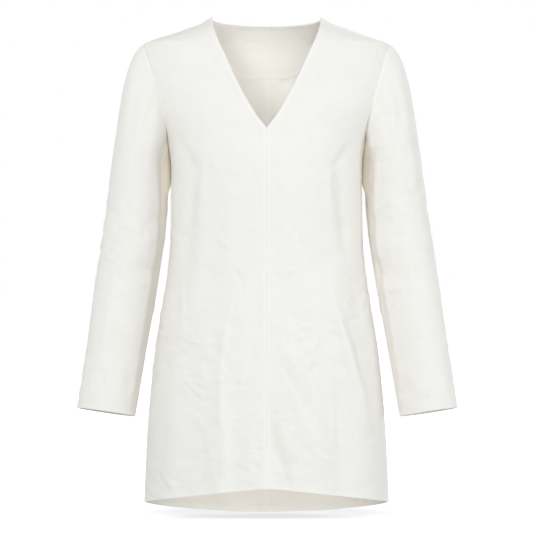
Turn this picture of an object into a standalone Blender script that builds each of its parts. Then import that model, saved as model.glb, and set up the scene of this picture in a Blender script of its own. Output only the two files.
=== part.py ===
"""A long-sleeved v-neck mini dress in off-white linen, filled out as it is worn, with nobody in it.

Metres, +Z up. The front faces -Y. The origin lies midway between the two neck points, where the shoulder
seams meet the neckline. Every panel is a wall of cloth on one dress form, and panels stop just short of each
other at their seams.
"""

import math

import bmesh
import bpy
import numpy as np

# Cloth and seams
CLOTH_THICKNESS = 0.0016
FACING_THICKNESS = 0.0010
SEAM_GAP = 0.0003

# Landmarks of the cut, as heights from the neck points and widths from the centre
SHOULDER_DROP = -0.0455
UNDERARM_HEIGHT = -0.200
V_POINT_HEIGHT = -0.187
BACK_NECK_HEIGHT = -0.007
SIDE_HEM_HEIGHT = -0.785
ARMHOLE_FRONT_REACH = 0.47
ARMHOLE_BACK_REACH = 0.45
ARMHOLE_FULLNESS = 0.85
RIGHT_ARM_CLOSER = 0.003

# The front hem rises to the middle and the back hem drops, each as a curve plus a plain tilt
FRONT_HEM_CURVE = 0.0198
FRONT_HEM_POWER = 1.2
FRONT_HEM_TILT = 0.0168
BACK_HEM_CURVE = 0.0094
BACK_HEM_TILT = 0.0239

# Divisions of the wall
ARMHOLE_ROWS = 14
SIDE_ROWS = 22
PANEL_ROWS = ARMHOLE_ROWS + SIDE_ROWS
PANEL_COLUMNS = 14
FRONT_NECK_ROWS = 10
BACK_NECK_ROWS = 6
FRONT_NECK_CROWDING = 1.45
FACING_ROWS_BELOW_NECK = 3
FACING_COLUMNS = 6
SLEEVE_COLUMNS = 2 * ARMHOLE_ROWS
CAP_RINGS = 8
ARM_RINGS = 13

FRONT = -1
BACK = 1
RIGHT = -1
LEFT = 1
QUARTER = math.pi / 2

# Level sections of the dress form, from the neck down to the hem
FORM_COLUMNS = ("height", "half_width", "front_depth", "back_depth", "squareness")
FORM = (
    (0.000, 0.0880, 0.046, 0.058, 2.00),
    (-0.0045, 0.0945, 0.050, 0.063, 2.01),
    (-0.0110, 0.1060, 0.054, 0.070, 2.03),
    (-0.0175, 0.1230, 0.058, 0.075, 2.04),
    (-0.0240, 0.1410, 0.062, 0.079, 2.06),
    (-0.0305, 0.1605, 0.065, 0.083, 2.07),
    (-0.0370, 0.1800, 0.068, 0.086, 2.09),
    (-0.0455, 0.1985, 0.072, 0.090, 2.10),
    (-0.0570, 0.1990, 0.077, 0.094, 2.14),
    (-0.070, 0.1990, 0.081, 0.098, 2.18),
    (-0.093, 0.1970, 0.089, 0.104, 2.20),
    (-0.127, 0.1900, 0.101, 0.109, 2.20),
    (-0.156, 0.1800, 0.110, 0.111, 2.20),
    (-0.179, 0.1680, 0.116, 0.111, 2.22),
    (-0.200, 0.1600, 0.120, 0.110, 2.25),
    (-0.221, 0.1555, 0.1235, 0.109, 2.28),
    (-0.250, 0.1535, 0.1250, 0.107, 2.30),
    (-0.302, 0.1545, 0.1235, 0.106, 2.30),
    (-0.360, 0.1552, 0.1215, 0.106, 2.28),
    (-0.400, 0.1580, 0.1220, 0.108, 2.26),
    (-0.458, 0.1670, 0.1260, 0.113, 2.24),
    (-0.536, 0.1795, 0.1320, 0.121, 2.22),
    (-0.613, 0.1880, 0.1380, 0.128, 2.20),
    (-0.700, 0.1940, 0.1430, 0.134, 2.18),
    (-0.785, 0.1970, 0.1470, 0.138, 2.16),
    (-0.850, 0.1980, 0.1490, 0.140, 2.15),
)

# Half the neck opening at each drop below the neck points, seen from the front
NECKLINE_COLUMNS = ("height", "half_opening")
NECKLINE = (
    (0.000, 0.0880),
    (-0.0165, 0.0855),
    (-0.042, 0.0773),
    (-0.071, 0.0645),
    (-0.104, 0.0498),
    (-0.1375, 0.0329),
    (-0.1675, 0.0150),
    (V_POINT_HEIGHT, 0.0),
)

# How the sleeve cap leaves the armhole and comes down onto the arm, at the crown and at the underarm
CAP_COLUMNS = ("leave_outwards", "leave_downwards", "arrive_length", "arrive_lean")
CAP_AT_CROWN = (0.0310, 0.0165, 0.094, 0.150)
CAP_AT_UNDERARM = (0.0010, 0.0235, 0.010, 0.000)
CAP_FULLNESS = 0.008

# Level stations of the arm, from the upper arm to the cuff
ARM_COLUMNS = ("height", "across", "forward", "half_width", "half_depth")
ARM = (
    (-0.235, 0.2045, -0.002, 0.0455, 0.0560),
    (-0.302, 0.2090, 0.000, 0.0500, 0.0515),
    (-0.380, 0.2200, 0.005, 0.0503, 0.0475),
    (-0.458, 0.2320, 0.013, 0.0497, 0.0445),
    (-0.536, 0.2440, 0.023, 0.0480, 0.0415),
    (-0.613, 0.2560, 0.034, 0.0473, 0.0390),
    (-0.637, 0.2597, 0.037, 0.0464, 0.0380),
)

# Folds fade out towards their ends and within a short turn of the side seams
FOLD_END_POWER = 0.7
FOLD_FADE_TURN = 0.12

# The largest folds, from top to foot: a crest where lift is positive, a trough where it is negative
FOLD_COLUMNS = ("top_x", "top_z", "foot_x", "foot_z", "lift", "spread")
FRONT_FOLDS = (
    (-0.125, -0.215, -0.138, -0.420, -0.0045, 0.016),
    (-0.108, -0.250, -0.128, -0.560, 0.0035, 0.016),
    (-0.045, -0.420, -0.078, -0.900, 0.0055, 0.020),
    (-0.052, -0.460, -0.046, -0.900, -0.0045, 0.018),
    (-0.140, -0.450, -0.150, -0.900, 0.0040, 0.018),
    (0.020, -0.540, 0.110, -0.760, 0.0040, 0.018),
    (0.004, -0.600, 0.035, -0.900, -0.0045, 0.016),
    (0.104, -0.430, 0.150, -0.640, 0.0050, 0.016),
    (0.110, -0.560, 0.124, -0.900, -0.0045, 0.018),
    (0.122, -0.215, 0.140, -0.400, -0.0040, 0.016),
)
BACK_FOLDS = (
    (-0.128, -0.220, -0.140, -0.430, -0.0045, 0.018),
    (-0.070, -0.380, -0.098, -0.900, 0.0055, 0.022),
    (-0.036, -0.430, -0.052, -0.900, -0.0045, 0.020),
    (0.030, -0.420, 0.048, -0.900, 0.0045, 0.020),
    (0.084, -0.360, 0.110, -0.900, -0.0050, 0.022),
    (0.130, -0.220, 0.138, -0.460, -0.0040, 0.018),
    (0.126, -0.480, 0.150, -0.900, 0.0045, 0.020),
)

# Folds round the sleeve, by the turn from the crown of the arm towards the front, and the height
SLEEVE_FOLD_COLUMNS = ("turn", "height", "lift", "spread_round", "spread_down")
SLEEVE_FOLDS = (
    (2.30, -0.330, -0.0035, 0.75, 0.014),
    (2.10, -0.372, 0.0030, 0.70, 0.014),
    (2.45, -0.412, -0.0040, 0.70, 0.013),
    (1.00, -0.300, -0.0025, 0.60, 0.030),
    (4.30, -0.400, -0.0035, 0.80, 0.018),
    (4.10, -0.470, 0.0030, 0.80, 0.020),
)

LINEN_COLOUR = (0.885, 0.875, 0.830, 1.0)
LINEN_INSIDE_COLOUR = (0.860, 0.835, 0.765, 1.0)
LINEN_ROUGHNESS = 0.88


def smooth_curve(table, columns, value):
    """A smooth function of height through one column of a table, with no overshoot between its rows."""
    rows = sorted((row[columns.index("height")], row[columns.index(value)]) for row in table)
    at = np.array([row[0] for row in rows])
    val = np.array([row[1] for row in rows])
    step = np.diff(at)
    slope = np.diff(val) / step
    tangent = np.zeros(len(at))
    for i in range(1, len(at) - 1):
        if slope[i - 1] * slope[i] > 0:
            near, far = 2 * step[i] + step[i - 1], step[i] + 2 * step[i - 1]
            tangent[i] = (near + far) / (near / slope[i - 1] + far / slope[i])
    tangent[0], tangent[-1] = slope[0], slope[-1]

    def curve(x):
        x = np.clip(np.asarray(x, float), at[0], at[-1])
        i = np.clip(np.searchsorted(at, x, side="right") - 1, 0, len(step) - 1)
        t = (x - at[i]) / step[i]
        rise = val[i + 1] - val[i]
        bend_in = tangent[i] * step[i]
        bend_out = tangent[i + 1] * step[i]
        square = 3 * rise - 2 * bend_in - bend_out
        cube = bend_in + bend_out - 2 * rise
        return val[i] + t * (bend_in + t * (square + t * cube))

    return curve


HALF_WIDTH = smooth_curve(FORM, FORM_COLUMNS, "half_width")
DEPTH = {
    FRONT: smooth_curve(FORM, FORM_COLUMNS, "front_depth"),
    BACK: smooth_curve(FORM, FORM_COLUMNS, "back_depth"),
}
SQUARENESS = smooth_curve(FORM, FORM_COLUMNS, "squareness")
HALF_OPENING = smooth_curve(NECKLINE, NECKLINE_COLUMNS, "half_opening")
ARM_ACROSS = smooth_curve(ARM, ARM_COLUMNS, "across")
ARM_FORWARD = smooth_curve(ARM, ARM_COLUMNS, "forward")
ARM_HALF_WIDTH = smooth_curve(ARM, ARM_COLUMNS, "half_width")
ARM_HALF_DEPTH = smooth_curve(ARM, ARM_COLUMNS, "half_depth")


def unit(vectors):
    return vectors / np.maximum(np.linalg.norm(vectors, axis=-1, keepdims=True), 1e-12)


def form_point(turn, height, face, hand):
    """The point of the dress form at a turn from the centre line (0) to the side (a quarter) on one face."""
    power = SQUARENESS(height)
    across, out = np.sin(turn), np.cos(turn)
    reach = (np.abs(across) ** power + np.abs(out) ** power) ** (-1 / power)
    x = hand * HALF_WIDTH(height) * across * reach
    y = face * DEPTH[face](height) * out * reach
    return np.stack([x, y, height + 0 * turn], axis=-1)


def form_normal(turn, height, face, hand):
    """The outward normal of the dress form, from small steps along its surface."""
    round_step, up_step = 1e-3, 1e-4
    turn = np.clip(turn, round_step, QUARTER - round_step)
    ahead = form_point(turn + round_step, height, face, hand)
    behind = form_point(turn - round_step, height, face, hand)
    above = form_point(turn, height + up_step, face, hand)
    below = form_point(turn, height - up_step, face, hand)
    return unit(np.cross(ahead - behind, above - below)) * (-face * hand)


def turn_at_share(share_of_width, height):
    """The turn at which the form is that share of its half width from the centre line."""
    power = SQUARENESS(height)
    share = np.clip(share_of_width, 0, 1)
    return np.arctan2(share, (1 - share**power) ** (1 / power))


def side_turn(height, face):
    """The turn of a side or shoulder seam's edge, half a gap short of the seam."""
    return QUARTER - SEAM_GAP / 2 / DEPTH[face](height)


def centre_turn(height):
    """The turn of a centre seam's edge, half a gap short of the seam."""
    return SEAM_GAP / 2 / HALF_WIDTH(height)


def fold_lift(folds, x, z):
    """How far the folds lift the cloth off the form at each place seen from the front or the back."""
    total = np.zeros(np.shape(x))
    for top_x, top_z, foot_x, foot_z, lift, spread in folds:
        run = np.array([foot_x - top_x, foot_z - top_z])
        length = np.linalg.norm(run)
        along = ((x - top_x) * run[0] + (z - top_z) * run[1]) / length**2
        aside = ((x - top_x) * run[1] - (z - top_z) * run[0]) / length
        ends = np.sin(math.pi * np.clip(along, 0, 1)) ** FOLD_END_POWER
        total = total + lift * ends * np.exp(-((aside / spread) ** 2))
    return total


def hem_height(turn, face):
    """The hem's height at a turn: it meets at the side seams, rises in front and drops behind."""
    across, out = np.sin(turn), np.cos(turn)
    if face == FRONT:
        return SIDE_HEM_HEIGHT + FRONT_HEM_CURVE * (1 - across**FRONT_HEM_POWER) + FRONT_HEM_TILT * out
    return SIDE_HEM_HEIGHT - BACK_HEM_CURVE * (1 - across**2) - BACK_HEM_TILT * out


def armhole_edge(share, face):
    """(turn, height) on the armhole, from the underarm (0) to the shoulder point (1)."""
    share = np.asarray(share, float)
    height = UNDERARM_HEIGHT + (SHOULDER_DROP - UNDERARM_HEIGHT) * (1 - np.cos(math.pi * share)) / 2
    widest = ARMHOLE_FRONT_REACH if face == FRONT else ARMHOLE_BACK_REACH
    reach = widest * np.sin(math.pi * share) ** ARMHOLE_FULLNESS
    power = SQUARENESS(height)
    turn = np.arctan2((1 - reach**power) ** (1 / power), reach)
    return np.minimum(turn, side_turn(height, face)), height


def outer_edge(row, face):
    """(turn, height) on the panel's outer edge: up the side seam, then round the armhole."""
    if row <= SIDE_ROWS:
        height = SIDE_HEM_HEIGHT + (UNDERARM_HEIGHT - SIDE_HEM_HEIGHT) * row / SIDE_ROWS
        return side_turn(height, face), height
    return armhole_edge((row - SIDE_ROWS) / ARMHOLE_ROWS, face)


def front_inner_edge(row):
    """(turn, height) on the front's inner edge: up the centre seam, then along the v neckline."""
    centre_rows = PANEL_ROWS - FRONT_NECK_ROWS
    if row <= centre_rows:
        low = float(hem_height(0.0, FRONT))
        height = low + (V_POINT_HEIGHT - low) * row / centre_rows
        return centre_turn(height), height
    share = (row - centre_rows) / FRONT_NECK_ROWS
    height = V_POINT_HEIGHT * (1 - share) ** FRONT_NECK_CROWDING
    turn = turn_at_share(HALF_OPENING(height) / HALF_WIDTH(height), height)
    return np.clip(turn, centre_turn(height), side_turn(height, FRONT)), height


def back_inner_edge(row):
    """(turn, height) on the back's inner edge: up the centre seam, then along the back neckline."""
    centre_rows = PANEL_ROWS - BACK_NECK_ROWS
    if row <= centre_rows:
        low = float(hem_height(0.0, BACK))
        height = low + (BACK_NECK_HEIGHT - low) * row / centre_rows
        return centre_turn(height), height
    share = (row - centre_rows) / BACK_NECK_ROWS
    height = BACK_NECK_HEIGHT * (1 - share**2)
    first = centre_turn(height)
    return first + (side_turn(height, BACK) - first) * share, height


def shoulder_edge(column, face):
    """(turn, height) along the shoulder seam, from the neck point to the shoulder point."""
    height = SHOULDER_DROP * column / PANEL_COLUMNS
    return side_turn(height, face), height


def hem_edge(column, face):
    """(turn, height) along the hem, from the centre seam to the side seam."""
    share = column / PANEL_COLUMNS
    first, last = centre_turn(SIDE_HEM_HEIGHT), side_turn(SIDE_HEM_HEIGHT, face)
    turn = first + (last - first) * share
    return turn, hem_height(QUARTER * share, face)


def panel_places(face):
    """(turn, height) at every grid point of half a front or back, blended from its four edges.

    Heights are blended by the square of the way across, so that the rows leave the centre level.
    """
    rows, columns = PANEL_ROWS, PANEL_COLUMNS
    inner_of = front_inner_edge if face == FRONT else back_inner_edge
    inner = np.array([inner_of(row) for row in range(rows + 1)], float)
    outer = np.array([outer_edge(row, face) for row in range(rows + 1)], float)
    hem = np.array([hem_edge(column, face) for column in range(columns + 1)], float)
    top = np.array([shoulder_edge(column, face) for column in range(columns + 1)], float)
    across = np.linspace(0, 1, columns + 1)
    u = np.stack([across, across**2], axis=-1)[None]
    v = np.linspace(0, 1, rows + 1)[:, None, None]
    between_sides = (1 - u) * inner[:, None] + u * outer[:, None]
    between_ends = (1 - v) * hem[None] + v * top[None]
    corners = (1 - v) * ((1 - u) * hem[0] + u * hem[-1]) + v * ((1 - u) * top[0] + u * top[-1])
    return between_sides + between_ends - corners


def panel_layers(face, hand):
    """A panel's outer points and its outward directions, as [row][column] grids."""
    places = panel_places(face)
    turn, height = places[..., 0], places[..., 1]
    plain = form_point(turn, height, face, hand)
    away = form_normal(turn, height, face, hand)
    folds = FRONT_FOLDS if face == FRONT else BACK_FOLDS
    seam_hold = np.clip((QUARTER - turn) / FOLD_FADE_TURN, 0, 1)
    outer = plain + away * (fold_lift(folds, plain[..., 0], plain[..., 2]) * seam_hold)[..., None]
    return outer, away


def add_wall(mesh, outer, inner, tube=False, joined_rows=0):
    """A closed wall between an outer and an inner grid of points, in triangles.

    A tube's columns close round it. The joined rows of the first column are left open, to meet another wall.
    """
    rows, columns = outer.shape[:2]
    layers = [[[mesh.verts.new(point) for point in row] for row in grid] for grid in (outer, inner)]
    for layer in layers:
        for i in range(rows - 1):
            for j in range(columns if tube else columns - 1):
                k = (j + 1) % columns
                mesh.faces.new((layer[i][j], layer[i][k], layer[i + 1][k]))
                mesh.faces.new((layer[i][j], layer[i + 1][k], layer[i + 1][j]))
    edges = [[(0, j) for j in range(columns)], [(rows - 1, j) for j in range(columns)]]
    if not tube:
        edges += [[(i, 0) for i in range(joined_rows, rows)], [(i, columns - 1) for i in range(rows)]]
    for edge in edges:
        pairs = list(zip(edge, edge[1:] + edge[:1]))
        for (i, j), (m, n) in pairs if tube else pairs[:-1]:
            mesh.faces.new((layers[0][i][j], layers[0][m][n], layers[1][m][n], layers[1][i][j]))


def closed_mesh(name, mesh):
    """The finished mesh, with its doubled points merged and its faces turned outwards."""
    bmesh.ops.remove_doubles(mesh, verts=mesh.verts, dist=1e-6)
    bmesh.ops.recalc_face_normals(mesh, faces=mesh.faces)
    if mesh.calc_volume(signed=True) < 0:
        bmesh.ops.reverse_faces(mesh, faces=mesh.faces)
    data = bpy.data.meshes.new(name)
    mesh.to_mesh(data)
    mesh.free()
    data.shade_smooth()
    data.set_sharp_from_angle(angle=math.radians(50))
    return data


def armhole_ring(hand):
    """The sleeve's first ring, clear of the panels, and the way across the armhole's edge into it."""
    faces, shares = [], []
    for column in range(SLEEVE_COLUMNS):
        in_front = column <= ARMHOLE_ROWS
        faces.append(FRONT if in_front else BACK)
        steps = column if in_front else SLEEVE_COLUMNS - column
        shares.append(1 - steps / ARMHOLE_ROWS)
    ring, away = [], []
    for face, share in zip(faces, shares):
        turn, height = armhole_edge(share, face)
        ring.append(form_point(turn, height, face, hand))
        away.append(form_normal(turn, height, face, hand))
    ring, away = np.array(ring), np.array(away)
    along = unit(np.roll(ring, -1, axis=0) - np.roll(ring, 1, axis=0))
    across = unit(np.cross(away, along))
    middle = ring.mean(axis=0)
    across *= np.sign(((middle - ring) * across).sum(axis=1))[:, None]
    return ring + SEAM_GAP * (across + away), across


def arm_centre(height, hand):
    """The middle of the arm at a height. The right arm hangs a little closer to the body than the left."""
    top, cuff = ARM[0][0], ARM[-1][0]
    closer = RIGHT_ARM_CLOSER * (top - height) / (top - cuff) if hand == RIGHT else 0.0
    return np.array([hand * (ARM_ACROSS(height) - closer), -ARM_FORWARD(height), height])


def arm_ring(height, hand):
    """One oval ring of the sleeve, square to the arm, from the crown of the arm round by the front."""
    centre = arm_centre(height, hand)
    above = arm_centre(min(height + 0.004, ARM[0][0]), hand)
    below = arm_centre(max(height - 0.004, ARM[-1][0]), hand)
    down = unit(below - above)
    sideways, forwards = np.array([float(hand), 0.0, 0.0]), np.array([0.0, -1.0, 0.0])
    width_way = unit(sideways - down * (sideways @ down))
    front_way = unit(forwards - down * (forwards @ down))
    angles = np.linspace(0, 2 * math.pi, SLEEVE_COLUMNS, endpoint=False)[:, None]
    return (
        centre
        + np.cos(angles) * ARM_HALF_WIDTH(height) * width_way
        + np.sin(angles) * ARM_HALF_DEPTH(height) * front_way
    )


def sleeve_layers(hand):
    """The sleeve's outer points and outward directions: a cap eased into the armhole, then the arm."""
    first, across_edge = armhole_ring(hand)
    top, cuff = ARM[0][0], ARM[-1][0]
    upper = arm_ring(top, hand)
    angles = np.linspace(0, 2 * math.pi, SLEEVE_COLUMNS, endpoint=False)[:, None]
    crown, front = np.cos(angles), np.sin(angles)
    at_crown, at_underarm = np.array(CAP_AT_CROWN), np.array(CAP_AT_UNDERARM)
    handles = at_underarm + (at_crown - at_underarm) * (1 + crown) / 2
    leave_out, leave_down, arrive_length, arrive_lean = np.split(handles, len(CAP_COLUMNS), axis=1)
    leave = np.hstack([hand * leave_out, -CAP_FULLNESS * front, -leave_down])
    arrive = arrive_length * np.hstack([hand * arrive_lean, 0 * crown, -1 + 0 * crown])
    rings = []
    for t in np.linspace(0, 1, CAP_RINGS + 1):
        rings.append(
            (1 - t) ** 3 * first
            + 3 * (1 - t) ** 2 * t * (first + leave)
            + 3 * (1 - t) * t**2 * (upper - arrive)
            + t**3 * upper
        )
    for height in np.linspace(top, cuff, ARM_RINGS + 1)[1:]:
        rings.append(arm_ring(height, hand))
    plain = np.array(rings)
    around = np.roll(plain, -1, axis=1) - np.roll(plain, 1, axis=1)
    along = np.gradient(plain, axis=0)
    away = unit(np.cross(around, along)) * hand
    angle_grid = np.broadcast_to(angles[:, 0], plain.shape[:2])
    total = np.zeros(plain.shape[:2])
    for turn, height, lift, spread_round, spread_down in SLEEVE_FOLDS:
        aside = np.abs((angle_grid - turn + math.pi) % (2 * math.pi) - math.pi)
        total += lift * np.exp(-((aside / spread_round) ** 2) - ((plain[..., 2] - height) / spread_down) ** 2)
    outer = plain + away * total[..., None]
    into_panel = np.maximum((away[0] * across_edge).sum(axis=1), 0)[:, None]
    away[0] = unit(away[0] - into_panel * across_edge)
    return outer, away


def cloth_material(name, colour):
    material = bpy.data.materials.new(name)
    material.use_nodes = True
    surface = material.node_tree.nodes["Principled BSDF"]
    surface.inputs["Base Color"].default_value = colour
    surface.inputs["Roughness"].default_value = LINEN_ROUGHNESS
    surface.inputs["Metallic"].default_value = 0.0
    return material


def add_piece(name, mesh, material, collection):
    data = closed_mesh(name, mesh)
    data.materials.append(material)
    collection.objects.link(bpy.data.objects.new(name, data))


def clear_scene():
    for item in list(bpy.data.objects):
        bpy.data.objects.remove(item, do_unlink=True)


def build_panels(linen, collection):
    """The two fronts and the two backs, joined at the centre, side and shoulder seams."""
    for face, word in ((FRONT, "front"), (BACK, "back")):
        for hand, side in ((RIGHT, "right"), (LEFT, "left")):
            outer, away = panel_layers(face, hand)
            mesh = bmesh.new()
            add_wall(mesh, outer, outer - CLOTH_THICKNESS * away)
            add_piece(f"{word}_{side}", mesh, linen, collection)


def build_sleeves(linen, collection):
    """One set-in sleeve for each arm, closed into a tube by its underarm seam."""
    for hand, side in ((RIGHT, "right"), (LEFT, "left")):
        outer, away = sleeve_layers(hand)
        mesh = bmesh.new()
        add_wall(mesh, outer, outer - CLOTH_THICKNESS * away, tube=True)
        add_piece(f"sleeve_{side}", mesh, linen, collection)


def build_back_facing(linen, collection):
    """The facing that finishes the back neckline, made from the backs' own points and moved inwards."""
    neck_row = PANEL_ROWS - BACK_NECK_ROWS
    part = (slice(neck_row - FACING_ROWS_BELOW_NECK, None), slice(0, FACING_COLUMNS + 1))
    mesh = bmesh.new()
    for hand in (RIGHT, LEFT):
        outer, away = panel_layers(BACK, hand)
        grid, way = outer[part], away[part]
        grid[: FACING_ROWS_BELOW_NECK + 1, 0, 0] = 0.0
        way[: FACING_ROWS_BELOW_NECK + 1, 0, 0] = 0.0
        near_side = grid - way * (CLOTH_THICKNESS + SEAM_GAP)
        add_wall(mesh, near_side, near_side - way * FACING_THICKNESS, joined_rows=FACING_ROWS_BELOW_NECK)
    add_piece("back_neck_facing", mesh, linen, collection)


def main():
    clear_scene()
    collection = bpy.data.collections.new("v_neck_dress")
    bpy.context.scene.collection.children.link(collection)
    linen = cloth_material("linen", LINEN_COLOUR)
    linen_inside = cloth_material("linen_facing", LINEN_INSIDE_COLOUR)
    build_panels(linen, collection)
    build_sleeves(linen, collection)
    build_back_facing(linen_inside, collection)


main()
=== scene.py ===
"""The looks of a long-sleeved v-neck mini dress in off-white linen, filled out as worn, with nobody in it.

Metres, +Z up, the front towards -Y. Each cut piece is a thin sheet on its own stretch of the dress form.
"""

import math

import bpy
import numpy as np
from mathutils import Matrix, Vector, noise


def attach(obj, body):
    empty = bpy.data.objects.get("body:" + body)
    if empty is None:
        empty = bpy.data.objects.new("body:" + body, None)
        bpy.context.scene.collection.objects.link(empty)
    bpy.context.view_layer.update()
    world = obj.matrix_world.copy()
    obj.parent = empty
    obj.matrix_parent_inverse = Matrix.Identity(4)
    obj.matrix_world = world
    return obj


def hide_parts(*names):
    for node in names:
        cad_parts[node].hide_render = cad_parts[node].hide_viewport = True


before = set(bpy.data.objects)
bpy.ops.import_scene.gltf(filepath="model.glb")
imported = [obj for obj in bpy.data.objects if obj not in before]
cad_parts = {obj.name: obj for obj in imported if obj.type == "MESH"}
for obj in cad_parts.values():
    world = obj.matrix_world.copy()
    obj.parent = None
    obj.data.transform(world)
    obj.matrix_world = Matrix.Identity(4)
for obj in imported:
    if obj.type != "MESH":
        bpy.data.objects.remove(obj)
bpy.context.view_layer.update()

# The fronts.
# Two half fronts of mid-weight plain-weave linen, cut with the grain upright and sewn together down the
# centre front up to the point of the v. Every edge is turned in: pressed open along the seams, faced at the
# neckline, turned up once at the hem. The creases are those of a dress that was ironed and then worn.

FRONT, BACK = -1, 1
RIGHT, LEFT = -1, 1
QUARTER = math.pi / 2

CLOTH = 0.00042
LAYER_STEP = 0.00095
FOLDED_EDGE = 0.60
SEAM_LINE = 0.00003
SEAM_ALLOWANCE = 0.010
HEM_TURNING = 0.012

# A turning lies deeper where it crosses a seam's allowance, by these shares of a layer, and the allowance
# there is tucked in behind the folded edge
HEM_CORNER_BUILD = 2.0
TOP_CORNER_BUILD = 0.6
CORNER_SPREAD = 0.003
TUCKED_IN = 0.0007

SHOULDER_DROP = -0.0455
UNDERARM_HEIGHT = -0.200
V_POINT_HEIGHT = -0.187
BACK_NECK_HEIGHT = -0.007
SIDE_HEM_HEIGHT = -0.785
ARMHOLE_REACH = {FRONT: 0.47, BACK: 0.45}
ARMHOLE_FULLNESS = 0.85
FRONT_HEM_CURVE, FRONT_HEM_POWER, FRONT_HEM_TILT = 0.0198, 1.2, 0.0168
BACK_HEM_CURVE, BACK_HEM_TILT = 0.0094, 0.0239

SIDE_SHARE = 22 / 36
CENTRE_SHARE = {FRONT: 26 / 36, BACK: 30 / 36}
FRONT_NECK_CROWDING = 1.45

FORM_COLUMNS = ("height", "half_width", "front_depth", "back_depth", "squareness")
FORM = (
    (0.000, 0.0880, 0.046, 0.058, 2.00),
    (-0.0045, 0.0945, 0.050, 0.063, 2.01),
    (-0.0110, 0.1060, 0.054, 0.070, 2.03),
    (-0.0175, 0.1230, 0.058, 0.075, 2.04),
    (-0.0240, 0.1410, 0.062, 0.079, 2.06),
    (-0.0305, 0.1605, 0.065, 0.083, 2.07),
    (-0.0370, 0.1800, 0.068, 0.086, 2.09),
    (-0.0455, 0.1985, 0.072, 0.090, 2.10),
    (-0.0570, 0.1990, 0.077, 0.094, 2.14),
    (-0.070, 0.1990, 0.081, 0.098, 2.18),
    (-0.093, 0.1970, 0.089, 0.104, 2.20),
    (-0.127, 0.1900, 0.101, 0.109, 2.20),
    (-0.156, 0.1800, 0.110, 0.111, 2.20),
    (-0.179, 0.1680, 0.116, 0.111, 2.22),
    (-0.200, 0.1600, 0.120, 0.110, 2.25),
    (-0.221, 0.1555, 0.1235, 0.109, 2.28),
    (-0.250, 0.1535, 0.1250, 0.107, 2.30),
    (-0.302, 0.1545, 0.1235, 0.106, 2.30),
    (-0.360, 0.1552, 0.1215, 0.106, 2.28),
    (-0.400, 0.1580, 0.1220, 0.108, 2.26),
    (-0.458, 0.1670, 0.1260, 0.113, 2.24),
    (-0.536, 0.1795, 0.1320, 0.121, 2.22),
    (-0.613, 0.1880, 0.1380, 0.128, 2.20),
    (-0.700, 0.1940, 0.1430, 0.134, 2.18),
    (-0.785, 0.1970, 0.1470, 0.138, 2.16),
    (-0.850, 0.1980, 0.1490, 0.140, 2.15),
)
NECKLINE_COLUMNS = ("height", "half_opening")
NECKLINE = (
    (0.000, 0.0880),
    (-0.0165, 0.0855),
    (-0.042, 0.0773),
    (-0.071, 0.0645),
    (-0.104, 0.0498),
    (-0.1375, 0.0329),
    (-0.1675, 0.0150),
    (V_POINT_HEIGHT, 0.0),
)


def smooth_curve(table, columns, value):
    """A smooth function of height through one column of a table, with no overshoot between its rows."""
    rows = sorted((row[columns.index("height")], row[columns.index(value)]) for row in table)
    at, val = (np.array([row[k] for row in rows]) for k in (0, 1))
    step = np.diff(at)
    slope = np.diff(val) / step
    tangent = np.zeros(len(at))
    for i in range(1, len(at) - 1):
        if slope[i - 1] * slope[i] > 0:
            near, far = 2 * step[i] + step[i - 1], step[i] + 2 * step[i - 1]
            tangent[i] = (near + far) / (near / slope[i - 1] + far / slope[i])
    tangent[0], tangent[-1] = slope[0], slope[-1]

    def curve(x):
        x = np.clip(np.asarray(x, float), at[0], at[-1])
        i = np.clip(np.searchsorted(at, x, side="right") - 1, 0, len(step) - 1)
        t = (x - at[i]) / step[i]
        rise, bend_in, bend_out = val[i + 1] - val[i], tangent[i] * step[i], tangent[i + 1] * step[i]
        square, cube = 3 * rise - 2 * bend_in - bend_out, bend_in + bend_out - 2 * rise
        return val[i] + t * (bend_in + t * (square + t * cube))

    return curve


HALF_WIDTH = smooth_curve(FORM, FORM_COLUMNS, "half_width")
DEPTH = {
    FRONT: smooth_curve(FORM, FORM_COLUMNS, "front_depth"),
    BACK: smooth_curve(FORM, FORM_COLUMNS, "back_depth"),
}
SQUARENESS = smooth_curve(FORM, FORM_COLUMNS, "squareness")
HALF_OPENING = smooth_curve(NECKLINE, NECKLINE_COLUMNS, "half_opening")


def unit(vectors):
    return vectors / np.maximum(np.linalg.norm(vectors, axis=-1, keepdims=True), 1e-12)


def ease(value, start, end):
    """0 at the start, 1 at the end and a soft rise between them."""
    t = np.clip((value - start) / (end - start), 0, 1)
    return t * t * (3 - 2 * t)


def form_point(turn, height, face, hand):
    """The point of the dress form at a turn from the centre line (0) to the side (a quarter) on one face."""
    power = SQUARENESS(height)
    across, out = np.sin(turn), np.cos(turn)
    reach = (np.abs(across) ** power + np.abs(out) ** power) ** (-1 / power)
    x = hand * HALF_WIDTH(height) * across * reach
    y = face * DEPTH[face](height) * out * reach
    return np.stack([x, y, height + 0 * turn], axis=-1)


def form_normal(turn, height, face, hand):
    """The outward normal of the dress form, from small steps along its surface."""
    round_step, up_step = 1e-3, 1e-4
    turn = np.clip(turn, round_step, QUARTER - round_step)
    ahead = form_point(turn + round_step, height, face, hand)
    behind = form_point(turn - round_step, height, face, hand)
    above = form_point(turn, height + up_step, face, hand)
    below = form_point(turn, height - up_step, face, hand)
    return unit(np.cross(ahead - behind, above - below)) * (-face * hand)


def side_turn(height, face):
    return QUARTER - SEAM_LINE / DEPTH[face](height)


def centre_turn(height):
    return SEAM_LINE / HALF_WIDTH(height)


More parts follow.
